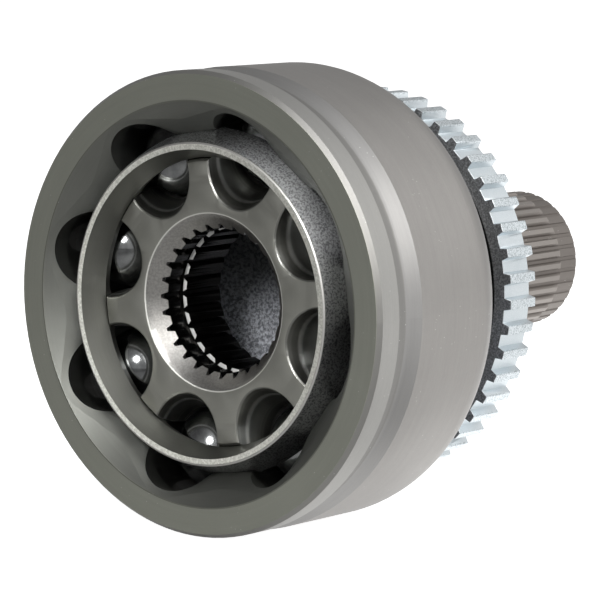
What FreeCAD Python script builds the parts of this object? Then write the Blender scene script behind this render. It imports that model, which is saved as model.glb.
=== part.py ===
import FreeCAD, Part
import math
import os

# Fixed constant velocity joint: bell with stem, speed sensor ring, cage, inner race and balls.
# Millimetres and degrees. The joint centre is the origin and the joint axis is Y: the open
# mouth of the bell faces -Y, the stem points to +Y, and +Z is up. Angles round the joint
# axis are counted from +X towards +Z.

# Balls and ball tracks
ball_count = 8
ball_diameter = 15.875
ball_circle_radius = 31.3
first_ball_angle = 30.3
track_offset = 3.3
track_play = 0.16
max_bend = 45.0
track_overrun = 5.0
track_lead_in = 60.0

# Inner race
race_diameter = 59.2
race_width = 21.0
race_edge_bevel = 0.5
race_track_chamfer = 0.25
hub_spline_teeth = 28
hub_spline_minor_diameter = 28.0
hub_spline_tooth_height = 1.0
hub_spline_space_share = 0.52
hub_spline_flank_angle = 27.0
hub_spline_first_space = 0.3
race_countersink_diameter = 34.5
race_countersink_angle = 45.0
race_rear_chamfer = 1.0
circlip_groove_distance = 6.8
circlip_groove_width = 1.8
circlip_groove_depth = 0.4

# Cage
cage_play = 0.05
cage_wall = 4.85
cage_front_reach = 15.2
cage_rear_reach = 14.5
cage_rim_wall = 1.3
cage_rim_bevel = 0.3
cage_sphere_reach = 10.0
cage_rear_bevel = 0.8
window_end_play = 0.3
window_side_play = 0.35
window_corner_radius = 4.0

# Bell of the outer race, distances counted from the mouth face
bell_diameter = 90.0
mouth_to_centre = 16.3
boot_land_diameter = 89.6
face_bevel_depth = 0.75
face_bevel_length = 1.0
boot_land_length = 6.0
clamp_groove_depth = 0.9
clamp_groove_root = 0.5
clamp_groove_wall_angle = 20.0
clamp_groove_floor = 3.2
clamp_groove_blend = 4.0
clamp_groove_length = 6.8
shoulder_start = 32.5
shoulder_radius = 8.0
mouth_diameter = 77.8
mouth_cone_depth = 5.2
cavity_depth = 43.0
cavity_floor_fillet = 8.0

# Forged entry of the bell, which waves in and out with the tracks inside the mouth cone
entry_track_diameter = 77.3
entry_land_diameter = 71.2
entry_track_band = 2.0
entry_land_band = 5.3
entry_band_angle = 42.0
entry_draft_angle = 15.0
entry_depth = 8.3
entry_sections = 7
entry_points_per_track = 6

# Sensor ring and its seat on the back of the bell
ring_front_distance = 49.6
ring_length = 8.4
ring_seat_diameter = 66.0
ring_wall = 4.5
ring_tooth_height = 1.6
ring_teeth = 48
ring_tooth_tip_width = 1.75
ring_tooth_root_width = 2.45
ring_first_tooth = 4.9
ring_bevel = 0.4
neck_relief = 1.0
neck_corner_radius = 1.5

# Hub shoulder and stem
hub_face_distance = 61.5
hub_face_diameter = 54.0
hub_face_bevel = 2.0
stem_fillet_radius = 2.5
journal_diameter = 32.0
journal_length = 9.0
journal_bevel = 1.2
stem_neck_diameter = 26.6
stem_neck_length = 3.5
stem_spline_teeth = 36
stem_spline_tip_diameter = 29.84
stem_spline_tooth_height = 0.84
stem_spline_space_share = 0.62
stem_spline_flank_angle = 30.0
stem_spline_first_space = 4.6
stem_pilot_diameter = 28.6
stem_pilot_length = 6.8
stem_tip_bevel = 0.8
stem_end_distance = 109.5

# Bolt thread in the end of the stem, shown at its pitch surface
bolt_thread_radius = 7.5
bolt_thread_length = 34.0
bolt_drill_extra = 5.0
bolt_drill_radius = 7.0
bolt_drill_point_angle = 118.0
bolt_countersink_radius = 8.6

# Working values
MARGIN = 2.0
FLAT = 0.001
ORIGIN = FreeCAD.Vector(0, 0, 0)
AXIS = FreeCAD.Vector(0, 1, 0)

ball_radius = ball_diameter / 2
track_radius = ball_radius + track_play
track_arc_radius = math.hypot(ball_circle_radius, track_offset)
race_radius = race_diameter / 2
cage_inner_radius = race_radius + cage_play
cage_outer_radius = cage_inner_radius + cage_wall
bell_sphere_radius = cage_outer_radius + cage_play
ball_pitch_angle = 360 / ball_count


def turned(profile, round_edges=None):
    """Solid of revolution about the joint axis from a closed (radius, y) outline.

    A point may carry a third value, the radius of an arc that rounds that corner.
    round_edges gives, for the number of a point, the centre (radius, y) of the arc that
    leads from that point to the next one.
    """
    round_edges = round_edges or {}
    corners = [FreeCAD.Vector(point[0], point[1], 0) for point in profile]
    count = len(corners)
    starts = []
    ends = []
    arcs = []
    for index in range(count):
        corner = corners[index]
        radius = profile[index][2] if len(profile[index]) > 2 else 0
        if not radius:
            starts.append(corner)
            ends.append(corner)
            arcs.append(None)
            continue
        before = (corners[index - 1] - corner).normalize()
        after = (corners[(index + 1) % count] - corner).normalize()
        half_angle = before.getAngle(after) / 2
        reach = radius / math.tan(half_angle)
        middle = (before + after).normalize()
        centre = corner + middle * (radius / math.sin(half_angle))
        starts.append(corner + before * reach)
        ends.append(corner + after * reach)
        arcs.append(arc_through(starts[index], ends[index], centre))
    edges = []
    for index in range(count):
        if arcs[index]:
            edges.append(arcs[index])
        start = ends[index]
        end = starts[(index + 1) % count]
        if index in round_edges:
            centre = FreeCAD.Vector(round_edges[index][0], round_edges[index][1], 0)
            edges.append(arc_through(start, end, centre))
        elif start.distanceToPoint(end) > Part.Precision.confusion():
            edges.append(Part.LineSegment(start, end).toShape())
    face = Part.Face(Part.Wire(edges))
    solid = face.revolve(ORIGIN, AXIS, 360)
    if solid.Volume < 0:
        solid.reverse()
    return solid


def arc_through(start, end, centre):
    """Short arc from start to end about a centre."""
    middle = (start + end) * 0.5 - centre
    radius = start.distanceToPoint(centre)
    return Part.Arc(start, centre + middle.normalize() * radius, end).toShape()


def drum(radius, y_start, y_end):
    """Plain cylinder on the joint axis."""
    return Part.makeCylinder(radius, y_end - y_start, FreeCAD.Vector(0, y_start, 0), AXIS)


def cone_on_axis(radius_start, radius_end, y_start, y_end):
    """Truncated cone on the joint axis."""
    base = FreeCAD.Vector(0, y_start, 0)
    return Part.makeCone(radius_start, radius_end, y_end - y_start, base, AXIS)


def around_axis(shape, angle):
    """Copy of a shape turned about the joint axis from +X towards +Z."""
    copy = shape.copy()
    copy.rotate(ORIGIN, AXIS, -angle)
    return copy


def polar(radius, angle, y):
    """Point at a radius and an angle round the joint axis."""
    turn = math.radians(angle)
    return FreeCAD.Vector(radius * math.cos(turn), y, radius * math.sin(turn))


def from_mouth(distance):
    """Y of a station that is counted from the mouth face."""
    return distance - mouth_to_centre


def ball_angles():
    """Angle of each ball round the joint axis."""
    return [first_ball_angle + index * ball_pitch_angle for index in range(ball_count)]


def track_tool(centre_y, start_angle, end_angle):
    """Cutter for one ball track: a round section swept on an arc about (0, centre_y, 0)."""
    centre = FreeCAD.Vector(0, centre_y, 0)
    turn = math.radians(start_angle)
    outward = FreeCAD.Vector(math.cos(turn), math.sin(turn), 0)
    along = FreeCAD.Vector(-math.sin(turn), math.cos(turn), 0)
    section = Part.makeCircle(track_radius, centre + outward * track_arc_radius, along)
    face = Part.Face(Part.Wire([section]))
    return face.revolve(centre, FreeCAD.Vector(0, 0, 1), end_angle - start_angle)


def tooth_ring_points(count, inner, outer, inner_width, outer_width, first_angle, y, gap=False):
    """Corners of a toothed outline, one list of four points for each tooth or space.

    The widths are those of the tooth, or of the space between teeth where gap is set.
    """
    groups = []
    for index in range(count):
        middle = first_angle + index * 360 / count
        inner_half = math.degrees(inner_width / 2 / inner)
        outer_half = math.degrees(outer_width / 2 / outer)
        if gap:
            group = [
                polar(outer, middle - outer_half, y),
                polar(inner, middle - inner_half, y),
                polar(inner, middle + inner_half, y),
                polar(outer, middle + outer_half, y),
            ]
        else:
            group = [
                polar(inner, middle - inner_half, y),
                polar(outer, middle - outer_half, y),
                polar(outer, middle + outer_half, y),
                polar(inner, middle + inner_half, y),
            ]
        groups.append(group)
    return groups


def toothed_prism(groups, length):
    """Prism whose outline runs through the groups of corners, with arcs on the joint axis."""
    edges = []
    for index, group in enumerate(groups):
        following = groups[(index + 1) % len(groups)][0]
        edges.append(Part.LineSegment(group[0], group[1]).toShape())
        edges.append(arc_about_axis(group[1], group[2]))
        edges.append(Part.LineSegment(group[2], group[3]).toShape())
        edges.append(arc_about_axis(group[3], following))
    face = Part.Face(Part.Wire(edges))
    return face.extrude(AXIS * length)


def arc_about_axis(start, end):
    """Short arc on the joint axis between two points at one radius and one y."""
    return arc_through(start, end, FreeCAD.Vector(0, start.y, 0))


def make_ball(angle):
    """One ball at its place in the plane of the joint centre."""
    return Part.makeSphere(ball_radius, polar(ball_circle_radius, angle, 0))


def make_inner_race():
    """Ball hub with its tracks, splined bore, countersink and circlip groove."""
    front = -race_width / 2
    rear = race_width / 2
    face_radius = math.sqrt(race_radius ** 2 - rear ** 2)
    body = Part.makeSphere(race_radius, ORIGIN, AXIS)
    slab = turned([
        (0, front),
        (face_radius - race_edge_bevel, front),
        (face_radius + race_edge_bevel, front + 2 * race_edge_bevel),
        (race_radius + MARGIN, front + 2 * race_edge_bevel),
        (race_radius + MARGIN, rear - 2 * race_edge_bevel),
        (face_radius + race_edge_bevel, rear - 2 * race_edge_bevel),
        (face_radius - race_edge_bevel, rear),
        (0, rear),
    ])
    body = body.common(slab)
    for angle in ball_angles():
        tool = track_tool(track_offset, -track_lead_in, track_lead_in)
        body = body.cut(around_axis(tool, angle))
    body = body.makeChamfer(race_track_chamfer, track_edges(body, [front, rear]))
    minor = hub_spline_minor_diameter / 2
    major = minor + hub_spline_tooth_height
    minor_pitch = 2 * math.pi * minor / hub_spline_teeth
    mouth_width = minor_pitch * hub_spline_space_share
    flank_run = hub_spline_tooth_height * math.tan(math.radians(hub_spline_flank_angle))
    root_width = mouth_width - 2 * flank_run
    groups = tooth_ring_points(
        hub_spline_teeth, minor, major, mouth_width, root_width,
        hub_spline_first_space, front - MARGIN,
    )
    body = body.cut(toothed_prism(groups, race_width + 2 * MARGIN))
    sink_radius = race_countersink_diameter / 2
    sink_depth = sink_radius / math.tan(math.radians(race_countersink_angle))
    body = body.cut(cone_on_axis(sink_radius, 0, front, front + sink_depth))
    rear_radius = major + race_rear_chamfer
    body = body.cut(cone_on_axis(minor, rear_radius, rear - (rear_radius - minor), rear))
    groove_start = front + circlip_groove_distance
    groove_radius = major + circlip_groove_depth
    return body.cut(drum(groove_radius, groove_start, groove_start + circlip_groove_width))


def track_edges(body, faces):
    """Edges of the tracks on the flat end faces of the inner race, all but their round rims."""
    found = []
    for edge in body.Edges:
        box = edge.BoundBox
        flat = any(abs(box.YMin - y) + abs(box.YMax - y) < FLAT for y in faces)
        if flat and not isinstance(edge.Curve, Part.Circle):
            found.append(edge)
    return found


def make_cage():
    """Ball cage: a spherical ring with one window for each ball."""
    front = -cage_front_reach
    rear = cage_rear_reach
    rim_outer = math.sqrt(cage_outer_radius ** 2 - front ** 2)
    flare_radius = math.sqrt(cage_inner_radius ** 2 - cage_sphere_reach ** 2)
    shell = Part.makeSphere(cage_outer_radius, ORIGIN, AXIS)
    outer_rear = math.sqrt(cage_outer_radius ** 2 - rear ** 2)
    slab = turned([
        (0, front),
        (rim_outer - cage_rim_bevel, front),
        (rim_outer + cage_rim_bevel, front + cage_rim_bevel),
        (cage_outer_radius + MARGIN, front + cage_rim_bevel),
        (cage_outer_radius + MARGIN, rear - cage_rear_bevel),
        (outer_rear + cage_rear_bevel, rear - cage_rear_bevel),
        (outer_rear - cage_rear_bevel, rear),
        (0, rear),
    ])
    shell = shell.common(slab)
    shell = shell.cut(Part.makeSphere(cage_inner_radius, ORIGIN, AXIS))
    flare = cone_on_axis(rim_outer - cage_rim_wall, flare_radius, front, -cage_sphere_reach)
    shell = shell.cut(flare)
    window_half_height = ball_radius + window_end_play
    window_half_length = ball_radius + ball_side_travel() + window_side_play
    tool = window_tool(window_half_length, window_half_height)
    for angle in ball_angles():
        shell = shell.cut(around_axis(tool, angle))
    return shell


def ball_side_travel():
    """Largest sideways travel of a ball in its window when the joint is fully bent."""
    tilt = math.radians(max_bend / 2)
    spread = math.atan(1 / math.sqrt(math.cos(tilt))) - math.atan(math.sqrt(math.cos(tilt)))
    return ball_circle_radius * abs(spread)


def window_tool(half_length, half_height):
    """Rounded rectangular cutter that points along +X."""
    radius = window_corner_radius
    start = cage_inner_radius * math.cos(math.radians(ball_pitch_angle / 2)) - MARGIN
    reach = cage_outer_radius + MARGIN - start
    flat = half_length - radius
    rise = half_height - radius
    wide = Part.makeBox(reach, 2 * rise, 2 * half_length, FreeCAD.Vector(start, -rise, -half_length))
    tall = Part.makeBox(reach, 2 * half_height, 2 * flat, FreeCAD.Vector(start, -half_height, -flat))
    tool = wide.fuse(tall)
    for y in (-rise, rise):
        for z in (-flat, flat):
            corner = FreeCAD.Vector(start, y, z)
            tool = tool.fuse(Part.makeCylinder(radius, reach, corner, FreeCAD.Vector(1, 0, 0)))
    return tool.removeSplitter()


def mouth_throat():
    """Radius and y where the mouth cone meets the spherical hollow."""
    throat = from_mouth(mouth_cone_depth)
    return math.sqrt(bell_sphere_radius ** 2 - throat ** 2), throat


def bell_outline():
    """Outline of the bell, hub and journal up to the start of the stem spline.

    The hollow is a sphere about the joint centre, with a dished floor and a mouth cone.
    """
    bell_radius = bell_diameter / 2
    land_radius = boot_land_diameter / 2
    groove_radius = land_radius - clamp_groove_depth
    groove_run = clamp_groove_depth * math.tan(math.radians(clamp_groove_wall_angle))
    groove_start = from_mouth(boot_land_length)
    groove_end = from_mouth(boot_land_length + clamp_groove_length)
    back_face = from_mouth(shoulder_start + shoulder_radius)
    seat_radius = ring_seat_diameter / 2
    seat_front = from_mouth(ring_front_distance)
    hub_face = from_mouth(hub_face_distance)
    hub_radius = hub_face_diameter / 2
    seat_end = hub_face - hub_face_bevel
    journal_radius = journal_diameter / 2
    journal_end = hub_face + journal_length
    neck_radius = stem_neck_diameter / 2
    spline_start = journal_end + stem_neck_length
    ring_rear = from_mouth(ring_front_distance + ring_length)
    floor = from_mouth(cavity_depth)
    dish_centre_y = floor - cavity_floor_fillet
    dish_reach = bell_sphere_radius - cavity_floor_fillet
    dish_centre_radius = math.sqrt(dish_reach ** 2 - dish_centre_y ** 2)
    dish_scale = bell_sphere_radius / dish_reach
    throat_radius, throat = mouth_throat()
    outline = [
        (0, floor),
        (dish_centre_radius, floor),
        (dish_centre_radius * dish_scale, dish_centre_y * dish_scale),
        (throat_radius, throat),
        (mouth_diameter / 2, from_mouth(0)),
        (land_radius - face_bevel_depth, from_mouth(0)),
        (land_radius, from_mouth(face_bevel_length)),
        (land_radius, groove_start),
        (groove_radius, groove_start + groove_run, clamp_groove_root),
        (groove_radius, groove_start + clamp_groove_floor, clamp_groove_blend),
        (bell_radius, groove_end),
        (bell_radius, back_face, shoulder_radius),
        (seat_radius - neck_relief, back_face, neck_corner_radius),
        (seat_radius - neck_relief, seat_front - neck_relief),
        (seat_radius, seat_front),
        (seat_radius, ring_rear),
        (hub_radius, seat_end),
        (hub_radius - hub_face_bevel, hub_face),
        (journal_radius, hub_face, stem_fillet_radius),
        (journal_radius, journal_end - journal_bevel),
        (journal_radius - journal_bevel, journal_end),
        (neck_radius, journal_end + journal_bevel),
        (neck_radius, spline_start),
        (0, spline_start),
    ]
    return outline, {1: (dish_centre_radius, dish_centre_y), 2: (0, 0)}


def make_stem_spline():
    """Splined end of the stem with its relieved pilot."""
    start = from_mouth(hub_face_distance) + journal_length + stem_neck_length
    end = from_mouth(stem_end_distance)
    tip = stem_spline_tip_diameter / 2
    root = tip - stem_spline_tooth_height
    tip_pitch = 2 * math.pi * tip / stem_spline_teeth
    mouth_width = tip_pitch * stem_spline_space_share
    flank_run = stem_spline_tooth_height * math.tan(math.radians(stem_spline_flank_angle))
    root_width = mouth_width - 2 * flank_run
    groups = tooth_ring_points(
        stem_spline_teeth, root, tip, root_width, mouth_width,
        stem_spline_first_space, start, gap=True,
    )
    splined = toothed_prism(groups, end - start)
    pilot = stem_pilot_diameter / 2
    pilot_step = tip - pilot
    envelope = turned([
        (0, start),
        (root, start),
        (tip, start + (tip - root)),
        (tip, end - stem_pilot_length - pilot_step),
        (pilot, end - stem_pilot_length),
        (pilot, end - stem_tip_bevel),
        (pilot - stem_tip_bevel, end),
        (0, end),
    ])
    return splined.common(envelope)


def make_bolt_hole():
    """Blind threaded hole in the end of the stem."""
    end = from_mouth(stem_end_distance)
    thread_end = end - bolt_thread_length
    drill_end = thread_end - bolt_drill_extra
    point = bolt_drill_radius / math.tan(math.radians(bolt_drill_point_angle / 2))
    sink = bolt_countersink_radius - bolt_thread_radius
    return turned([
        (0, end + MARGIN),
        (bolt_countersink_radius, end + MARGIN),
        (bolt_countersink_radius, end),
        (bolt_thread_radius, end - sink),
        (bolt_thread_radius, thread_end),
        (bolt_drill_radius, thread_end),
        (bolt_drill_radius, drill_end),
        (0, drill_end - point),
    ])


def entry_radius(angle, y):
    """Radius of the forged entry at an angle from the middle of a track.

    From its fold with the mouth cone a band leads inwards at the band angle. Past the end of
    the band the wall goes on with the draft of the forging.
    """
    wave = (1 + math.cos(math.radians(ball_count * angle))) / 2
    fold = (entry_land_diameter + (entry_track_diameter - entry_land_diameter) * wave) / 2
    band = entry_land_band + (entry_track_band - entry_land_band) * wave
    throat_radius, throat = mouth_throat()
    cone_slope = (throat - from_mouth(0)) / (mouth_diameter / 2 - throat_radius)
    fold_y = from_mouth(0) + (mouth_diameter / 2 - fold) * cone_slope
    slope = math.radians(entry_band_angle)
    band_end = fold_y + band * math.cos(slope)
    if y < band_end:
        return fold - (y - fold_y) * math.tan(slope)
    draft = (y - band_end) * math.tan(math.radians(entry_draft_angle))
    return fold - band * math.sin(slope) - draft


def make_entry():
    """Cutter for the forged entry: a loft through waved outlines one behind the other."""
    count = ball_count * entry_points_per_track
    start = from_mouth(-MARGIN / 2)
    step = (from_mouth(entry_depth) - start) / (entry_sections - 1)
    wires = []
    for section in range(entry_sections):
        y = start + section * step
        points = []
        for index in range(count):
            angle = index * 360 / count
            points.append(polar(entry_radius(angle, y), first_ball_angle + angle, y))
        curve = Part.BSplineCurve()
        curve.interpolate(points, PeriodicFlag=True)
        wires.append(Part.Wire([curve.toShape()]))
    return Part.makeLoft(wires, True, False)


def make_outer_race():
    """One forging: bell, hub, journal and splined stem."""
    outline, round_edges = bell_outline()
    body = turned(outline, round_edges)
    body = body.cut(make_entry())
    body = body.fuse(make_stem_spline())
    rest_angle = math.degrees(math.asin(track_offset / track_arc_radius))
    track_end = rest_angle + max_bend / 2 + track_overrun
    tool = track_tool(-track_offset, -track_lead_in, track_end)
    turn = math.radians(track_end)
    end_point = FreeCAD.Vector(math.cos(turn), math.sin(turn), 0) * track_arc_radius
    end_point.y -= track_offset
    end_ball = Part.makeSphere(track_radius, end_point, FreeCAD.Vector(0, 0, 1))
    for angle in ball_angles():
        body = body.cut(around_axis(tool, angle))
        body = body.cut(around_axis(end_ball, angle))
    return body.cut(make_bolt_hole())


def make_sensor_ring():
    """Toothed wheel speed ring that is pressed on the back of the bell."""
    front = from_mouth(ring_front_distance)
    root = ring_seat_diameter / 2 + ring_wall
    tip = root + ring_tooth_height
    groups = tooth_ring_points(
        ring_teeth, root, tip, ring_tooth_root_width, ring_tooth_tip_width,
        ring_first_tooth, front,
    )
    body = toothed_prism(groups, ring_length)
    rear = front + ring_length
    envelope = turned([
        (ring_seat_diameter / 2, front + ring_bevel),
        (ring_seat_diameter / 2 + ring_bevel, front),
        (tip + MARGIN, front),
        (tip + MARGIN, rear),
        (ring_seat_diameter / 2 + ring_bevel, rear),
        (ring_seat_diameter / 2, rear - ring_bevel),
    ])
    return body.common(envelope)


def save(name, shape):
    """Check a node's shape and write it."""
    solids = shape.Solids
    if not shape.isValid():
        raise ValueError(name + " isn't a valid shape")
    if len(solids) != 1:
        raise ValueError(name + " has " + str(len(solids)) + " solids")
    solids[0].exportStep(os.path.join("parts", name + ".step"))
    print(name, "volume", round(solids[0].Volume, 1), "faces", len(solids[0].Faces))


def main():
    os.makedirs("parts", exist_ok=True)
    save("outer_race", make_outer_race())
    save("abs_ring", make_sensor_ring())
    save("cage", make_cage())
    save("inner_race", make_inner_race())
    for index, angle in enumerate(ball_angles()):
        save("ball_" + str(index + 1), make_ball(angle))


main()
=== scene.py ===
import math

import bmesh
import bpy
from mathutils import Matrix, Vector


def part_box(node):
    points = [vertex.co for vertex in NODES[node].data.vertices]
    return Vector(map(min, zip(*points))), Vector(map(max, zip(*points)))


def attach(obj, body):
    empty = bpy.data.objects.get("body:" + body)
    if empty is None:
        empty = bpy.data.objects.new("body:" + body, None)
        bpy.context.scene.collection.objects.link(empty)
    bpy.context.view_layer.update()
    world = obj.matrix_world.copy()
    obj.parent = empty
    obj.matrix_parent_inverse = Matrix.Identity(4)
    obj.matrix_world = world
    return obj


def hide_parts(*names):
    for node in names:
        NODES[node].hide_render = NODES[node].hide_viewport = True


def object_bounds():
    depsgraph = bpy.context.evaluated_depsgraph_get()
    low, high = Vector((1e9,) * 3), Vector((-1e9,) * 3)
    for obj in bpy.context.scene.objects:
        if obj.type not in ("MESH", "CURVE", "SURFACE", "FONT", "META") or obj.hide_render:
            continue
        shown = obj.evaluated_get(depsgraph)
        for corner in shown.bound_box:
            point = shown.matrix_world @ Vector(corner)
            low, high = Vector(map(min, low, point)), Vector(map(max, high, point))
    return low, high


# Fixed CV joint: finishes of the turned, forged, ground and plated surfaces, and the stage.
# Metres throughout. The joint centre is the origin, the mouth of the bell faces -Y,
# the stem points to +Y and +Z is up.

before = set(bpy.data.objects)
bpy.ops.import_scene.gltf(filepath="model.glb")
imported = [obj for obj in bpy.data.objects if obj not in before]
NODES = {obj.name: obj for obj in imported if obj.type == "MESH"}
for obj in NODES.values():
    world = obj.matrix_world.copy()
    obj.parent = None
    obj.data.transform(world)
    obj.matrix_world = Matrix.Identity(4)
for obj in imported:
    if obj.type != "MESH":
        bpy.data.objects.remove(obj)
CAD_LOW, CAD_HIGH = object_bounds()

MM = 0.001
BALL_COUNT = 8

# Stations along the bell, from its mouth face
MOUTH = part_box("outer_race")[0].y
STEM_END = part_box("outer_race")[1].y
FACE_BEVEL_END = MOUTH + 1.0 * MM
BOOT_LAND_END = MOUTH + 6.0 * MM
TRACK_MOUTH = MOUTH + 6.1 * MM
RAMP_START = MOUTH + 9.1 * MM
RAMP_END = MOUTH + 12.8 * MM
SHOULDER = MOUTH + 33.5 * MM
HOLLOW_FLOOR = MOUTH + 43.0 * MM
STEM_START = MOUTH + 72.5 * MM

# Radii inside the bell, and depths of its hollow from the joint centre
MOUTH_RADIUS = 38.9 * MM
CAGE_SEAT_RADIUS = 34.6 * MM
HOLLOW_START = 14.0 * MM
HOLLOW_END = 27.5 * MM
HOLLOW_FILLET = 6.0 * MM
LIP_SHADE_WIDTH = 0.25 * MM

# Splined stem and the thread in its end
STEM_VALLEY_RADIUS = 14.43 * MM
STEM_CORE_RADIUS = 9.0 * MM
THREAD_BORE = 7.5 * MM
THREAD_CREST = 7.2 * MM
THREAD_SINK = 0.05 * MM
THREAD_PITCH = 1.5 * MM
THREAD_START = 1.6 * MM
THREAD_TURNS = 20
THREAD_STEPS = 40
THREAD_CREST_START = 0.30 * THREAD_PITCH
THREAD_CREST_END = 0.42 * THREAD_PITCH
THREAD_FOOT_END = 0.72 * THREAD_PITCH

# Speed ring
RING_FACE_DEPTH = 0.08 * MM
RING_TIP_DEPTH = 0.35 * MM
RING_SHADE_RADIUS = 35.1 * MM
RING_SOFT = 0.3 * MM

# Cage
CAGE_BALL_RADIUS = 34.2 * MM
CAGE_LIP_RADIUS = 30.7 * MM
CAGE_LIP_DEPTH = 0.30 * MM
CAGE_OUTER_START = 0.35 * MM
RIM_DEPTH = 0.04 * MM
RIM_LEAN = 0.8

# Inner race
SINK_RADIUS = 17.25 * MM
SINK_DEPTH = 3.2 * MM
SINK_EDGE_DEPTH = 0.3 * MM
SINK_EDGE_START = SINK_RADIUS - 0.16 * MM
SINK_EDGE_END = SINK_RADIUS + 0.10 * MM
SINK_EDGE_SOFT = 0.06 * MM
CLIP_GROOVE_END = 8.6 * MM
CLIP_WALL_RADIUS = 14.8 * MM
CLIP_WALL_WIDTH = 0.12 * MM
BORE_RADIUS = 15.6 * MM
TRACK_REACH = 29.4 * MM
TRACK_START_RADIUS = 17.8 * MM
PASSES_A_METRE = 420.0

# Broken edges of the copies, and where a copy's shading turns sharp
RING_EDGE = 0.15 * MM
RACE_EDGE = 0.08 * MM
EDGE_ANGLE = math.radians(30.0)
SHADING_ANGLE = math.radians(22.0)
MERGE_DISTANCE = 0.002 * MM
THREAD_MERGE_DISTANCE = 0.001 * MM
BALL_SUBDIVISIONS = 5

# Widths over which one finish passes into the next
HAIR = 0.05 * MM
CRISP = 0.1 * MM
SOFT = 0.2 * MM
VAGUE = 0.5 * MM

# Where a finish, a painted light or a painted shade changes over a surface: the place along an axis or
# radius, and the width
ENTRY_LEFT = -14.0 * MM, 16.0 * MM
ENTRY_LOW = -8.0 * MM, 12.0 * MM
TRACK_ENTRY = TRACK_MOUTH, 0.4 * MM
HOLLOW_ENTRY = HOLLOW_START, 2.0 * MM
HOLLOW_FLOOR_RISE = HOLLOW_FLOOR - HOLLOW_FILLET, 4.0 * MM
HOLLOW_FLOOR_SHADOW_EDGE = -1.0 * MM, 16.0 * MM
SHOULDER_RISE = SHOULDER, 4.0 * MM
STEM_RISE = STEM_START, 1.0 * MM
STEM_CORE = STEM_CORE_RADIUS, 1.0 * MM
RING_UPPER = 8.0 * MM, 44.0 * MM
CAGE_UPPER = 6.0 * MM, 20.0 * MM
DULL_FRONT = -9.0 * MM, 6.0 * MM
DULL_UPPER = 12.0 * MM, 9.0 * MM
DULL_RIGHT = 12.0 * MM, 20.0 * MM
TABLE_BEHIND = 0.02, 0.12
TABLE_FAR_FRONT = -0.14, 0.16
TABLE_UNDER_BELL = -0.012, 0.012
TABLE_LEFT = 0.045, 0.05
TABLE_BACK = 0.025, 0.02

# Roughness. A pair is the smooth and the rough end of one surface.
BELL_ROUGH = 0.40
FACE_ROUGH = 0.46
ENTRY_ROUGH = 0.46
TRACK_ROUGH = 0.30
HOLLOW_ROUGH = 0.80
STEM_ROUGH = 0.52
BELL_GRAIN_ROUGH = 0.08
ZINC_ROUGH = 0.30, 0.52
CAGE_WALL_ROUGH = 0.36
CAGE_BALL_ROUGH = 0.34
CAGE_MOTTLE_ROUGH = 0.06
RIM_ROUGH = 0.56
RACE_ROUGH = 0.26
RACE_FACE_ROUGH = 0.42
RACE_TRACK_ROUGH = 0.34
SINK_ROUGH = 0.33
SINK_EDGE_ROUGH = 0.55
BALL_ROUGH = 0.10, 0.17
TABLE_ROUGH = 0.9

# Share by which a place stops being bare metal
HOLLOW_FLOOR_SCALED = 0.8
RIM_WORN = 0.75
CAGE_DULLED = 0.55
TOOTH_ENDS_PAINTED_HIGHLIGHT = 0.8

# Share of a layer of colour where it lies
LIP_SHADE_SHARE = 0.45
TIP_SPECKLE_SHARE = 0.85
SPARKLE_SHARE = 0.35
MOTTLE_SHARE = 0.75

# Factors on a colour, from where a mark or a place is absent to where it is full. The last four paint
# light and shade onto a place.
FINE_STREAK = 0.88, 1.10
BROAD_STREAK = 0.93, 1.06
RACE_STREAK = 0.90, 1.10
ENTRY_PAINTED_SHADE = 1.0, 0.80
HOLLOW_FLOOR_PAINTED_SHADOW = 0.30, 1.0
RING_PAINTED_LIGHT = 0.95, 1.9
CAGE_PAINTED_SHADE = 0.6, 1.0

# Patches of a noise: the level above which they show, and the softness of their edge
HOLLOW_PATCHES = 0.5, 0.25
DUSTY_PLACES = 0.56, 0.05
SPARKLES = 0.60, 0.12
TIP_SPECKS = 0.47, 0.2
RING_FACE_SPECKS = 0.52, 0.25
CAGE_BLOTCHES = 0.48, 0.20
RIM_BLOTCHES = 0.5, 0.3
GRINDING_PASSES_AND_PAINTED_REFLECTION = 0.56, 0.16
SINK_SPECKS = 0.5, 0.3
ROUGH_FILM = 0.55, 0.3
PALE_FILM = 0.5, 0.4

# Heights of the marks against each other
FINE_HEIGHT = 0.7
BROAD_HEIGHT = 0.2
GRAIN_HEIGHT = 0.3
HOLLOW_SCALE_HEIGHT = 6.0
SINK_GRAIN_HEIGHT = 0.25
LAPPING_HEIGHT = 1.5

# Depth and strength of the marks that only the shading shows
MARK_DEPTH = 0.02 * MM
MARK_STRENGTH = 0.35
ZINC_GRAIN_DEPTH = 0.05 * MM
ZINC_GRAIN_STRENGTH = 0.5
CAGE_MARK_HEIGHT = 0.014 * MM
CAGE_MOTTLE_HEIGHT = 0.010 * MM
CAGE_MARK_STRENGTH = 0.6

# Colours of the bell and stem. A pair is the dark and the pale end of a mottled surface.
BELL_STEEL = (0.345, 0.333, 0.32), (0.415, 0.40, 0.387)
LAND_STEEL = (0.43, 0.425, 0.41)
BEVEL_STEEL = (0.38, 0.375, 0.36)
RAMP_STEEL = (0.365, 0.36, 0.355)
GROOVE_ROOT_PAINTED_SHADE = (0.295, 0.29, 0.28)
FACE_STEEL = (0.395, 0.405, 0.352), (0.455, 0.465, 0.410)
ENTRY_STEEL = (0.205, 0.21, 0.19), (0.26, 0.265, 0.245)
LIP_SHADE = (0.05, 0.05, 0.045)
TRACK_STEEL = (0.20, 0.20, 0.19)
HOLLOW_SCALE_AND_PAINTED_SHADE = (0.035, 0.035, 0.035)
HOLLOW_FLOOR_SCALE = (0.26, 0.27, 0.30), (0.80, 0.82, 0.87)
SHOULDER_STEEL = (0.34, 0.33, 0.32)
STEM_STEEL = (0.335, 0.31, 0.29)
VALLEY_PAINTED_SHADE = (0.215, 0.195, 0.18)
DUST = (0.8, 0.8, 0.78)

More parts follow.
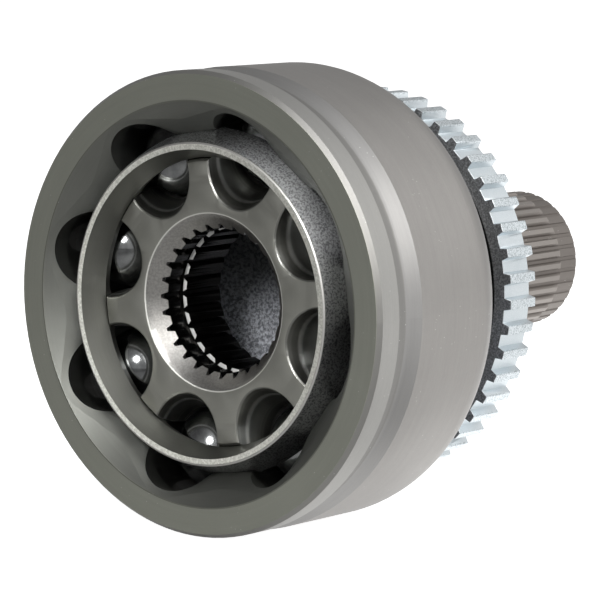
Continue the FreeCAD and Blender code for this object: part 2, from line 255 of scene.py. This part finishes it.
# Colours of the speed ring
ZINC = (0.64, 0.70, 0.73), (0.75, 0.80, 0.83)
SPECKLED_ZINC = (0.36, 0.42, 0.44), (0.80, 0.85, 0.88)
DARK_ZINC = (0.18, 0.185, 0.19), (0.42, 0.43, 0.44)
GAP_SHADE = (0.02, 0.02, 0.02)
ZINC_SPARKLE = (0.95, 0.97, 1.0)

# Colours of the cage
CAGE_WALL = (0.25, 0.255, 0.235), (0.33, 0.33, 0.31)
CAGE_BALL = (0.22, 0.22, 0.23), (0.74, 0.75, 0.76)
CAGE_RIM = (0.52, 0.52, 0.47), (0.76, 0.76, 0.70)
CAGE_LIP = (0.78, 0.77, 0.74)

# Colours of the inner race and the balls
RACE_FACE = (0.42, 0.42, 0.38), (0.50, 0.50, 0.455)
RACE_TRACK_AND_PAINTED_REFLECTION = (0.30, 0.30, 0.28), (0.98, 0.98, 0.94)
RACE_SINK = (0.37, 0.36, 0.345), (0.47, 0.46, 0.44)
RACE_BORE_PAINTED_SHADE = (0.07, 0.068, 0.065)
RACE_TOOTH_END_HIGHLIGHT = (0.95, 0.95, 0.93)
RACE_SINK_EDGE_HIGHLIGHT = (0.92, 0.92, 0.87)
BALL_STEEL = (0.20, 0.205, 0.21), (0.36, 0.37, 0.37)

# Camera, from the photograph's perspective
CAMERA_PLACE = Vector((0.4147, -0.5009, 0.0781))
CAMERA_AIM = Vector((-0.6210, 0.7746, -0.1200))
CAMERA_LENS = 202.4
SENSOR = 36.0
CLIP_NEAR = 0.05
CLIP_FAR = 60.0

# Lamps, which all aim at the joint centre
KEY_PLACE = (1.15, -0.10, 0.78)
KEY_SIZE = (2.0, 0.95)
KEY_POWER = 12.0
KEY_TINT = (1.0, 0.985, 0.96)
OVERHEAD_PLACE = (0.50, -0.35, 1.15)
OVERHEAD_SIZE = (0.8, 0.9)
OVERHEAD_POWER = 3.8
BALL_LIGHT_PLACE = (0.31, -0.90, 0.48)
BALL_LIGHT_SIZE = (0.32, 0.32)
BALL_LIGHT_POWER = 4.6
WHITE = (1.0, 1.0, 1.0)

# Table under the part: how pale it is, with painted shade in front, how it glows in the metal as
# painted light, and how white to the camera
TABLE_Z = CAD_LOW.z
TABLE_SIZE = 12.0
TABLE_PALE_FRONT = 0.38
TABLE_PALE_FAR_FRONT = 0.16
TABLE_PALE_BEHIND = 0.75
TABLE_GLOW_LEFT = 0.70
TABLE_GLOW_BACK = 0.22
TABLE_LIFT_FRONT = 0.96
TABLE_LIFT_BEHIND = 0.80

# Sky: levels of the surroundings that the metal mirrors, and where they change
SKY_LEVEL = 0.38
SKY_BACK_LEVEL = 0.02
SKY_BACK_RIGHT_LEVEL = 0.42
SKY_HIGH_LEVEL = 0.25
SKY_NEAR_CAMERA_LEVEL = 0.15
SKY_UPPER_LEFT_SHADE = 0.6
SKY_BACK_SHADE_LOSS = 0.35
SKY_BACK = 0.1, 0.9
SKY_RIGHT = 0.0, 1.4
SKY_HIGH = 0.7, 0.5
SKY_HIGH_RIGHT = 0.0, 0.8
SKY_NEAR_CAMERA = 0.85, 0.3
SKY_UPPER_LEFT = 0.75, 0.9
CAMERA_SIDE_X = 0.65
CAMERA_SIDE_Y = 0.75


# Shader maths on sockets

class Value:
    """A socket of a material's tree. Operators on it add Math nodes."""

    def __init__(self, look, socket):
        self.look = look
        self.socket = socket

    def math(self, operation, *others):
        inputs = dict(enumerate([self, *others]))
        return self.look.node("ShaderNodeMath", {"operation": operation}, inputs)

    def flipped(self, operation, other):
        return self.look.node("ShaderNodeMath", {"operation": operation}, {0: other, 1: self})

    def __add__(self, other):
        return self.math("ADD", other)

    __radd__ = __add__

    def __sub__(self, other):
        return self.math("SUBTRACT", other)

    def __rsub__(self, other):
        return self.flipped("SUBTRACT", other)

    def __mul__(self, other):
        return self.math("MULTIPLY", other)

    __rmul__ = __mul__

    def __pow__(self, other):
        return self.math("POWER", other)

    def above(self, edge, soft):
        """0 below the edge and 1 above it, over a soft width."""
        limits = {"From Min": edge - soft / 2, "From Max": edge + soft / 2}
        settings = {"interpolation_type": "SMOOTHSTEP"}
        return self.look.node("ShaderNodeMapRange", settings, {"Value": self, **limits})

    def below(self, edge, soft):
        return 1 - self.above(edge, soft)

    def between(self, low, high, soft):
        return self.above(low, soft) * self.below(high, soft)


class Shades:
    """A node tree that is built up from calls, one for each node."""

    def __init__(self, tree):
        self.tree = tree

    def node(self, kind, settings=None, inputs=None, output=0):
        made = self.tree.nodes.new(kind)
        for name, value in (settings or {}).items():
            setattr(made, name, value)
        for name, value in (inputs or {}).items():
            self.feed(made.inputs[name], value)
        return Value(self, made.outputs[output])

    def feed(self, socket, value):
        if isinstance(value, Value):
            self.tree.links.new(value.socket, socket)
        elif isinstance(value, tuple) and socket.type == "RGBA":
            socket.default_value = (*value, 1.0)
        else:
            socket.default_value = value

    def axes(self, point):
        """The three numbers of a vector."""
        split = self.node("ShaderNodeSeparateXYZ", inputs={"Vector": point})
        outputs = split.socket.node.outputs
        return [Value(self, outputs[axis]) for axis in "XYZ"]

    def rays(self):
        """Is Camera Ray and Is Glossy Ray of the light path."""
        outputs = self.node("ShaderNodeLightPath").socket.node.outputs
        return [Value(self, outputs[name]) for name in ("Is Camera Ray", "Is Glossy Ray")]


class Look(Shades):
    """A material that is built up on Object coordinates."""

    def __init__(self, name):
        self.material = bpy.data.materials.new(name)
        self.material.use_nodes = True
        super().__init__(self.material.node_tree)
        self.shader = self.tree.nodes["Principled BSDF"]
        self.point = self.node("ShaderNodeTexCoord", output="Object")
        self.x, self.y, self.z = self.axes(self.point)
        self.radius = (self.x * self.x + self.z * self.z) ** 0.5
        self.reach = (self.radius * self.radius + self.y * self.y) ** 0.5
        angle = self.z.math("ARCTAN2", self.x)
        self.turn_x = angle.math("COSINE")
        self.turn_z = angle.math("SINE")

    def vector(self, x, y, z):
        return self.node("ShaderNodeCombineXYZ", inputs={"X": x, "Y": y, "Z": z})

    def noise(self, scale, detail=2.0, roughness=0.5, vector=None, w=None):
        """Noise from 0 to 1, in four dimensions where w is given."""
        inputs = {"Scale": scale, "Detail": detail, "Roughness": roughness}
        inputs["Vector"] = vector or self.point
        settings = {}
        if w is not None:
            settings["noise_dimensions"] = "4D"
            inputs["W"] = w
        return self.node("ShaderNodeTexNoise", settings, inputs)

    def turned(self, across, along):
        """Marks that run round the axis: across is their count a metre, along their length."""
        turn = self.vector(self.turn_x, self.turn_z, self.y * (across / along))
        return self.noise(along, detail=2.0, roughness=0.6, vector=turn, w=self.radius * across)

    def specks(self, scale, share):
        """Small sparse dots: 1 on a dot and 0 elsewhere."""
        inputs = {"Vector": self.point, "Scale": scale}
        cells = self.node("ShaderNodeTexVoronoi", {"feature": "F1"}, inputs)
        return cells.below(share, share * 0.5)

    def mix(self, factor, first, second):
        made = self.tree.nodes.new("ShaderNodeMix")
        made.data_type = "RGBA"
        self.feed(made.inputs[0], factor)
        self.feed(made.inputs[6], first)
        self.feed(made.inputs[7], second)
        return Value(self, made.outputs[2])

    def blend(self, factor, first, second):
        """Number from first to second by the factor."""
        return (1 - factor) * first + factor * second

    def shade(self, colour, factor):
        """The colour times a number that varies."""
        inputs = {0: colour, "Scale": factor}
        return self.node("ShaderNodeVectorMath", {"operation": "SCALE"}, inputs)

    def grey(self, level):
        """Grey colour from a number that varies."""
        return self.vector(level, level, level)

    def bump(self, height, depth, strength):
        inputs = {"Strength": strength, "Distance": depth, "Height": height}
        return self.node("ShaderNodeBump", {}, inputs)

    def set(self, **sockets):
        for name, value in sockets.items():
            self.feed(self.shader.inputs[name.replace("_", " ")], value)


# Pieces

def placed(name, form):
    """Object at the origin with a form's mesh, which ends the form."""
    mesh = bpy.data.meshes.new(name)
    form.to_mesh(mesh)
    form.free()
    piece = bpy.data.objects.new(name, mesh)
    bpy.context.scene.collection.objects.link(piece)
    return piece


def smooth(form):
    for face in form.faces:
        face.smooth = True


def finished_copy(node, name, body, edge):
    """Copy of a solid's skin with its triangles joined and its edges broken, in place of the solid."""
    form = bmesh.new()
    form.from_mesh(NODES[node].data)
    bmesh.ops.remove_doubles(form, verts=form.verts, dist=MERGE_DISTANCE)
    smooth(form)
    piece = placed(name, form)
    piece.data.set_sharp_from_angle(angle=SHADING_ANGLE)
    bevel = piece.modifiers.new("broken_edges", "BEVEL")
    bevel.limit_method = "ANGLE"
    bevel.angle_limit = EDGE_ANGLE
    bevel.width = edge
    bevel.segments = 1
    bevel.harden_normals = True
    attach(piece, body)
    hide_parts(node)
    return piece


def lapped_ball(number):
    """Ball ground to a true sphere, in place of its faceted solid."""
    node = "ball_" + str(number)
    low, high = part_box(node)
    form = bmesh.new()
    radius = (high.x - low.x) / 2
    bmesh.ops.create_icosphere(form, subdivisions=BALL_SUBDIVISIONS, radius=radius)
    bmesh.ops.translate(form, verts=form.verts, vec=(low + high) / 2)
    smooth(form)
    piece = placed("lapped_" + node, form)
    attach(piece, node)
    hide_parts(node)
    return piece


def bolt_thread():
    """Ridge of the thread inside the stem's bolt hole, wound round the axis."""
    form = bmesh.new()
    start = STEM_END - THREAD_START
    foot_radius = THREAD_BORE + THREAD_SINK
    outline = [
        (foot_radius, start),
        (THREAD_CREST, start - THREAD_CREST_START),
        (THREAD_CREST, start - THREAD_CREST_END),
        (foot_radius, start - THREAD_FOOT_END),
    ]
    corners = [form.verts.new((radius, y, 0.0)) for radius, y in outline]
    form.faces.new(corners)
    bmesh.ops.spin(
        form,
        geom=form.verts[:] + form.edges[:] + form.faces[:],
        cent=(0, 0, 0),
        axis=(0, 1, 0),
        dvec=(0, -THREAD_PITCH / THREAD_STEPS, 0),
        angle=2 * math.pi * THREAD_TURNS,
        steps=THREAD_TURNS * THREAD_STEPS,
    )
    bmesh.ops.remove_doubles(form, verts=form.verts, dist=THREAD_MERGE_DISTANCE)
    bmesh.ops.recalc_face_normals(form, faces=form.faces)
    piece = placed("bolt_thread", form)
    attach(piece, "housing")
    return piece


def dress(piece, look):
    """Give a piece one material."""
    piece.data.materials.clear()
    piece.data.materials.append(look.material)


# Finishes

def forged_steel():
    """Bell and stem: turned outside, dull entry, scaled hollow, greenish front face, brown spline.
    Painted shade darkens the entry's lower left, the groove root, the spline valleys, the hollow and
    the upper hollow floor.
    """
    look = Look("forged_steel")
    fine = look.turned(across=9000.0, along=6.0)
    broad = look.turned(across=700.0, along=2.0)
    cloud = look.noise(scale=60.0, detail=4.0)
    grain = look.noise(scale=2500.0)
    scale = look.noise(scale=1500.0, detail=3.0, roughness=0.65)

    # Surfaces of the bell's inside
    on_face = look.y.below(MOUTH + HAIR, HAIR)
    inside = look.radius.below(MOUTH_RADIUS + CRISP, CRISP) * look.y.below(HOLLOW_END, VAGUE)
    inside = inside * (1 - on_face)
    in_track = inside * look.reach.above(CAGE_SEAT_RADIUS + HAIR, HAIR)
    in_track = in_track * look.y.above(*TRACK_ENTRY)
    in_hollow = inside * look.y.above(*HOLLOW_ENTRY)
    on_floor = in_hollow * look.y.above(*HOLLOW_FLOOR_RISE)
    at_lip = on_face * look.radius.below(MOUTH_RADIUS + LIP_SHADE_WIDTH, CRISP)
    # Painted shade: the entry is painted darker at its lower left.
    painted_shade_lower_left = look.x.below(*ENTRY_LEFT) * look.z.below(*ENTRY_LOW)
    floor_out_of_painted_shadow = look.z.below(*HOLLOW_FLOOR_SHADOW_EDGE)

    # Surfaces of its outside, from the mouth to the stem
    outside = 1 - inside
    on_bevel = look.y.between(MOUTH + CRISP, FACE_BEVEL_END, CRISP) * outside
    on_land = look.y.between(FACE_BEVEL_END, BOOT_LAND_END, CRISP) * outside
    painted_shade_on_root = look.y.between(BOOT_LAND_END, RAMP_START, VAGUE) * outside
    on_ramp = look.y.between(RAMP_START, RAMP_END, SOFT) * outside
    on_shoulder = look.y.above(*SHOULDER_RISE) * outside
    on_stem = look.y.above(*STEM_RISE)
    painted_shade_in_valley = on_stem * look.radius.below(STEM_VALLEY_RADIUS, VAGUE)
    painted_shade_in_valley = painted_shade_in_valley * look.radius.above(*STEM_CORE)

    entry = look.mix(cloud, *ENTRY_STEEL)
    entry = look.shade(entry, look.blend(painted_shade_lower_left, *ENTRY_PAINTED_SHADE))
    floor = look.mix(scale.above(*HOLLOW_PATCHES), *HOLLOW_FLOOR_SCALE)
    # Painted shadow: the hollow's floor is painted darker towards its top.
    floor = look.shade(floor, look.blend(floor_out_of_painted_shadow, *HOLLOW_FLOOR_PAINTED_SHADOW))
    colour = look.mix(cloud, *BELL_STEEL)
    colour = look.mix(on_land, colour, LAND_STEEL)
    colour = look.mix(on_bevel, colour, BEVEL_STEEL)
    colour = look.mix(on_ramp, colour, RAMP_STEEL)
    # Painted shade: the root of the boot groove is painted darker than the land and the ramp.
    colour = look.mix(painted_shade_on_root, colour, GROOVE_ROOT_PAINTED_SHADE)
    colour = look.mix(on_face, colour, look.mix(cloud, *FACE_STEEL))
    colour = look.mix(inside, colour, entry)
    colour = look.mix(at_lip * LIP_SHADE_SHARE, colour, LIP_SHADE)
    colour = look.mix(in_track, colour, TRACK_STEEL)
    # Dark scale in the hollow, also painted near black as shade.
    colour = look.mix(in_hollow, colour, HOLLOW_SCALE_AND_PAINTED_SHADE)
    colour = look.mix(on_floor, colour, floor)
    colour = look.mix(on_shoulder, colour, SHOULDER_STEEL)
    colour = look.mix(on_stem, colour, STEM_STEEL)
    # Painted shade: the valleys between the splines are painted darker.
    colour = look.mix(painted_shade_in_valley, colour, VALLEY_PAINTED_SHADE)

    streak = look.blend(fine, *FINE_STREAK) * look.blend(broad, *BROAD_STREAK)
    streak = look.blend(on_stem, streak, 1.0)
    colour = look.shade(colour, streak)
    dusty_place = look.noise(scale=120.0, detail=1.0).above(*DUSTY_PLACES)
    dust = look.specks(scale=900.0, share=0.07) * dusty_place
    colour = look.mix(dust * outside, colour, DUST)

    rough = look.blend(on_face, BELL_ROUGH, FACE_ROUGH) + BELL_GRAIN_ROUGH * grain
    rough = look.blend(inside, rough, ENTRY_ROUGH)
    rough = look.blend(in_track, rough, TRACK_ROUGH)
    rough = look.blend(in_hollow, rough, HOLLOW_ROUGH)
    rough = look.blend(on_stem, rough, STEM_ROUGH)
    metal = 1 - HOLLOW_FLOOR_SCALED * on_floor
    height = fine * FINE_HEIGHT + broad * BROAD_HEIGHT + grain * GRAIN_HEIGHT
    height = height + scale * on_floor * HOLLOW_SCALE_HEIGHT
    normal = look.bump(height, MARK_DEPTH, MARK_STRENGTH)
    look.set(Base_Color=colour, Metallic=metal, Roughness=rough, Normal=normal)
    return look


def zinc_ring():
    """Speed ring: bright bluish zinc on the teeth, grainy dark faces painted paler on the upper half
    as light, and black painted into the gap as shade.
    """
    look = Look("zinc_steel")
    low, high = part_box("abs_ring")
    grain = look.noise(scale=3200.0, detail=3.0, roughness=0.7)
    sparkle = look.noise(scale=7000.0, detail=1.0).above(*SPARKLES)
    cloud = look.noise(scale=140.0, detail=3.0)

    on_tip = look.radius.above(high.x - RING_TIP_DEPTH, RING_SOFT)
    on_front = look.y.below(low.y + RING_FACE_DEPTH, HAIR)
    on_faces = on_front + look.y.above(high.y - RING_FACE_DEPTH, HAIR)
    at_gap = on_front * look.radius.below(RING_SHADE_RADIUS, RING_SOFT)
    upper_half_painted_lighter = look.z.above(*RING_UPPER)

    speckled = look.mix(grain.above(*TIP_SPECKS), *SPECKLED_ZINC)
    dark = look.mix(grain.above(*RING_FACE_SPECKS), *DARK_ZINC)
    # Painted light: the ring's dark faces are painted paler on the upper half.
    dark = look.shade(dark, look.blend(upper_half_painted_lighter, *RING_PAINTED_LIGHT))
    colour = look.mix(cloud, *ZINC)
    colour = look.mix(on_tip * TIP_SPECKLE_SHARE, colour, speckled)
    colour = look.mix(on_faces, colour, dark)
    colour = look.mix(at_gap, colour, GAP_SHADE)
    colour = look.mix(sparkle * SPARKLE_SHARE * (1 - on_faces), colour, ZINC_SPARKLE)

    rough = look.blend(grain, *ZINC_ROUGH)
    normal = look.bump(grain, ZINC_GRAIN_DEPTH, ZINC_GRAIN_STRENGTH)
    look.set(Base_Color=colour, Metallic=1.0, Roughness=rough, Normal=normal)
    return look


def cage_steel():
    """Cage: mottled grey sphere painted darker on its lower half as shade, bright worn rim, smooth
    grey inner wall.
    """
    look = Look("cage_steel")
    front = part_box("cage")[0].y
    mottle = look.noise(scale=2600.0, detail=3.0, roughness=0.6)
    broad = look.noise(scale=160.0)
    fine = look.turned(across=8000.0, along=6.0)

    outer = look.reach.above(CAGE_BALL_RADIUS, SOFT)
    outer = outer * look.y.above(front + CAGE_OUTER_START, CRISP)
    rim = look.y.below(front + RIM_DEPTH, RIM_DEPTH)
    lip = look.y.below(front + CAGE_LIP_DEPTH, CRISP) * look.radius.above(CAGE_LIP_RADIUS, HAIR)
    dull = outer * look.y.below(*DULL_FRONT) * look.z.above(*DULL_UPPER) * look.x.above(*DULL_RIGHT)
    upper_half_painted_lighter = look.z.above(*CAGE_UPPER)

    tone = mottle.above(*CAGE_BLOTCHES) * MOTTLE_SHARE + broad * (1 - MOTTLE_SHARE)
    blotch = look.mix(tone, *CAGE_BALL)
    # Painted shade: the sphere's blotches are painted darker on the lower half.
    blotch = look.shade(blotch, look.blend(upper_half_painted_lighter, *CAGE_PAINTED_SHADE))
    colour = look.mix(fine, *CAGE_WALL)
    colour = look.mix(outer, colour, blotch)
    colour = look.mix(rim, colour, look.mix(mottle.above(*RIM_BLOTCHES), *CAGE_RIM))
    colour = look.mix(lip, colour, CAGE_LIP)

    rough = look.blend(outer, CAGE_WALL_ROUGH, CAGE_BALL_ROUGH) + mottle * CAGE_MOTTLE_ROUGH
    rough = look.blend(rim, rough, RIM_ROUGH)
    metal = 1 - RIM_WORN * rim - CAGE_DULLED * dull
    height = fine * CAGE_MARK_HEIGHT + mottle * CAGE_MOTTLE_HEIGHT
    height = height + rim * look.radius * RIM_LEAN
    normal = look.bump(height, 1.0, CAGE_MARK_STRENGTH)
    look.set(Base_Color=colour, Metallic=metal, Roughness=rough, Normal=normal)
    return look


def race_steel():
    """Inner race: satin turned face, tracks with grinding passes painted pale as reflection arcs,
    bright countersink with a painted highlight round its edge, splines painted near black as shade,
    and painted highlights on the tooth ends.
    """
    look = Look("race_steel")
    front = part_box("inner_race")[0].y
    fine = look.turned(across=9000.0, along=5.0)
    cloud = look.noise(scale=90.0, detail=3.0)
    grain = look.noise(scale=2400.0, detail=2.0, roughness=0.6)
    round_axis = look.vector(look.turn_x, look.turn_z, 0.0)
    lapping = look.noise(scale=90.0, detail=3.0, roughness=0.7, vector=round_axis)
    passes_and_painted_reflection = look.noise(scale=1.0, detail=1.5, vector=look.vector(0.0, look.y * PASSES_A_METRE, 0.0))

    on_face = look.y.below(front + HAIR, HAIR)
    off_face = 1 - on_face
    in_sink = look.radius.below(SINK_RADIUS, HAIR) * look.y.below(front + SINK_DEPTH, SOFT)
    in_sink = in_sink * off_face
    painted_highlight_sink_edge = look.radius.between(SINK_EDGE_START, SINK_EDGE_END, SINK_EDGE_SOFT)
    painted_highlight_sink_edge = painted_highlight_sink_edge * look.y.below(front + SINK_EDGE_DEPTH, CRISP)
    in_bore = look.radius.below(BORE_RADIUS, SOFT) * look.y.above(front + SINK_DEPTH, SOFT)
    clip_wall = front + CLIP_GROOVE_END
    painted_highlight_tooth_ends = in_bore * look.y.between(clip_wall - HAIR, clip_wall + CLIP_WALL_WIDTH, HAIR)
    painted_highlight_tooth_ends = painted_highlight_tooth_ends * look.radius.below(CLIP_WALL_RADIUS, CRISP)
    in_track = look.reach.below(TRACK_REACH, CRISP) * look.radius.above(TRACK_START_RADIUS, SOFT)
    in_track = in_track * off_face

    colour = look.mix(cloud, *RACE_FACE)
    # Pale arcs on the tracks: partly grinding passes, partly painted reflection.
    colour = look.mix(in_track, colour, look.mix(passes_and_painted_reflection.above(*GRINDING_PASSES_AND_PAINTED_REFLECTION), *RACE_TRACK_AND_PAINTED_REFLECTION))
    colour = look.mix(in_sink, colour, look.mix(grain.above(*SINK_SPECKS), *RACE_SINK))
    # Painted shade: the splined bore is painted near black.
    colour = look.mix(in_bore, colour, RACE_BORE_PAINTED_SHADE)
    # Painted highlight: the tooth ends at the clip groove's wall are painted white.
    colour = look.mix(painted_highlight_tooth_ends, colour, RACE_TOOTH_END_HIGHLIGHT)
    colour = look.shade(colour, look.blend(fine, *RACE_STREAK))
    # Painted highlight: a thin pale line round the countersink's edge.
    colour = look.mix(painted_highlight_sink_edge, colour, RACE_SINK_EDGE_HIGHLIGHT)

    rough = look.blend(on_face, RACE_ROUGH, RACE_FACE_ROUGH)
    rough = look.blend(in_track, rough, RACE_TRACK_ROUGH)
    rough = look.blend(in_sink, rough, SINK_ROUGH)
    rough = look.blend(painted_highlight_sink_edge, rough, SINK_EDGE_ROUGH)
    # Less metal where the tooth ends carry their painted highlight.
    metal = 1 - TOOTH_ENDS_PAINTED_HIGHLIGHT * painted_highlight_tooth_ends
    height = fine * FINE_HEIGHT * (1 - in_track) + grain * in_sink * SINK_GRAIN_HEIGHT
    height = height + lapping * in_track * LAPPING_HEIGHT
    normal = look.bump(height, MARK_DEPTH, MARK_STRENGTH)
    look.set(Base_Color=colour, Metallic=metal, Roughness=rough, Normal=normal)
    return look


def ball_steel():
    """Balls: polished bearing steel with a thin film of oil."""
    look = Look("ball_steel")
    film = look.noise(scale=300.0, detail=3.0, roughness=0.6)
    rough = look.blend(film.above(*ROUGH_FILM), *BALL_ROUGH)
    colour = look.mix(film.above(*PALE_FILM), *BALL_STEEL)
    look.set(Base_Color=colour, Metallic=1.0, Roughness=rough)
    return look


# Stage

def soft_box(name, shape, place, size, power, tint=WHITE):
    """Lamp at a place that shines towards the joint centre."""
    data = bpy.data.lights.new(name, "AREA")
    data.shape = shape
    data.size, data.size_y = size
    data.energy = power
    data.color = tint
    lamp = bpy.data.objects.new(name, data)
    bpy.context.scene.collection.objects.link(lamp)
    lamp.rotation_mode = "QUATERNION"
    lamp.rotation_quaternion = (-Vector(place)).to_track_quat("-Z", "Y")
    lamp.location = place


def make_camera():
    data = bpy.data.cameras.new("camera")
    data.lens = CAMERA_LENS
    data.sensor_width = SENSOR
    data.clip_start = CLIP_NEAR
    data.clip_end = CLIP_FAR
    camera = bpy.data.objects.new("camera", data)
    bpy.context.scene.collection.objects.link(camera)
    camera.location = CAMERA_PLACE
    camera.rotation_mode = "QUATERNION"
    camera.rotation_quaternion = CAMERA_AIM.to_track_quat("-Z", "Y")
    bpy.context.scene.camera = camera


def make_floor():
    """Plain floor: white to the camera; to the metal it is painted darker in front and far in front as
    shade, and glows under the bell as painted light.
    """
    form = bmesh.new()
    bmesh.ops.create_grid(form, x_segments=1, y_segments=1, size=TABLE_SIZE / 2)
    bmesh.ops.translate(form, verts=form.verts, vec=(0.0, 0.0, TABLE_Z))
    floor = placed("floor", form)
    look = Look("floor")
    camera_ray, glossy_ray = look.rays()
    behind = look.y.above(*TABLE_BEHIND)
    painted_shade_far_front = look.y.below(*TABLE_FAR_FRONT)
    under_bell_left = look.y.above(*TABLE_UNDER_BELL) * look.x.below(*TABLE_LEFT)
    under_bell_back = look.y.above(*TABLE_BACK)
    # Painted shade: the floor is darker in front and far in front, as the metal mirrors it.
    pale = look.blend(painted_shade_far_front, TABLE_PALE_FRONT, TABLE_PALE_FAR_FRONT)
    pale = look.blend(behind, pale, TABLE_PALE_BEHIND)
    # Painted light: the floor glows in the metal under the bell's left and back.
    glow = under_bell_left * TABLE_GLOW_LEFT + under_bell_back * TABLE_GLOW_BACK
    lift = look.blend(behind, TABLE_LIFT_FRONT, TABLE_LIFT_BEHIND)
    lift = camera_ray * lift + glossy_ray * glow
    look.set(Base_Color=look.grey(pale), Roughness=TABLE_ROUGH, Specular_IOR_Level=0.0)
    look.set(Emission_Color=WHITE, Emission_Strength=lift)
    dress(floor, look)


def make_world():
    """Dim in front, paler towards the back and overhead, and white to the camera."""
    world = bpy.data.worlds.new("studio")
    bpy.context.scene.world = world
    world.use_nodes = True
    studio = Shades(world.node_tree)
    x, y, z = studio.axes(studio.node("ShaderNodeTexCoord", output="Generated"))
    camera_ray = studio.rays()[0]
    back = y.above(*SKY_BACK)
    right = x.above(*SKY_RIGHT)
    overhead = z.above(*SKY_HIGH) * x.above(*SKY_HIGH_RIGHT)
    near_camera = (CAMERA_SIDE_X * x - CAMERA_SIDE_Y * y).above(*SKY_NEAR_CAMERA)
    upper_left = (z - x).above(*SKY_UPPER_LEFT)
    shade = upper_left * (SKY_UPPER_LEFT_SHADE - SKY_BACK_SHADE_LOSS * back)
    level = SKY_LEVEL + back * (SKY_BACK_LEVEL + right * SKY_BACK_RIGHT_LEVEL)
    level = level + overhead * SKY_HIGH_LEVEL + near_camera * SKY_NEAR_CAMERA_LEVEL
    level = level * (1 - shade)
    background = world.node_tree.nodes["Background"]
    background.inputs["Color"].default_value = (*WHITE, 1.0)
    studio.feed(background.inputs["Strength"], level.math("MAXIMUM", camera_ray))


def make_lamps():
    soft_box("key_right", "RECTANGLE", KEY_PLACE, KEY_SIZE, KEY_POWER, KEY_TINT)
    soft_box("overhead", "RECTANGLE", OVERHEAD_PLACE, OVERHEAD_SIZE, OVERHEAD_POWER)
    soft_box("ball_light", "DISK", BALL_LIGHT_PLACE, BALL_LIGHT_SIZE, BALL_LIGHT_POWER)


make_camera()
make_floor()
make_world()
make_lamps()
bpy.context.scene.view_settings.view_transform = "Standard"

# Dressing the pieces
forged_look = forged_steel()
ball_look = ball_steel()
dress(NODES["outer_race"], forged_look)
dress(NODES["cage"], cage_steel())
plated_ring = finished_copy("abs_ring", "plated_ring", "housing", RING_EDGE)
dress(plated_ring, zinc_ring())
ground_race = finished_copy("inner_race", "ground_race", "inner_race", RACE_EDGE)
dress(ground_race, race_steel())
for number in range(1, BALL_COUNT + 1):
    dress(lapped_ball(number), ball_look)
dress(bolt_thread(), forged_look)
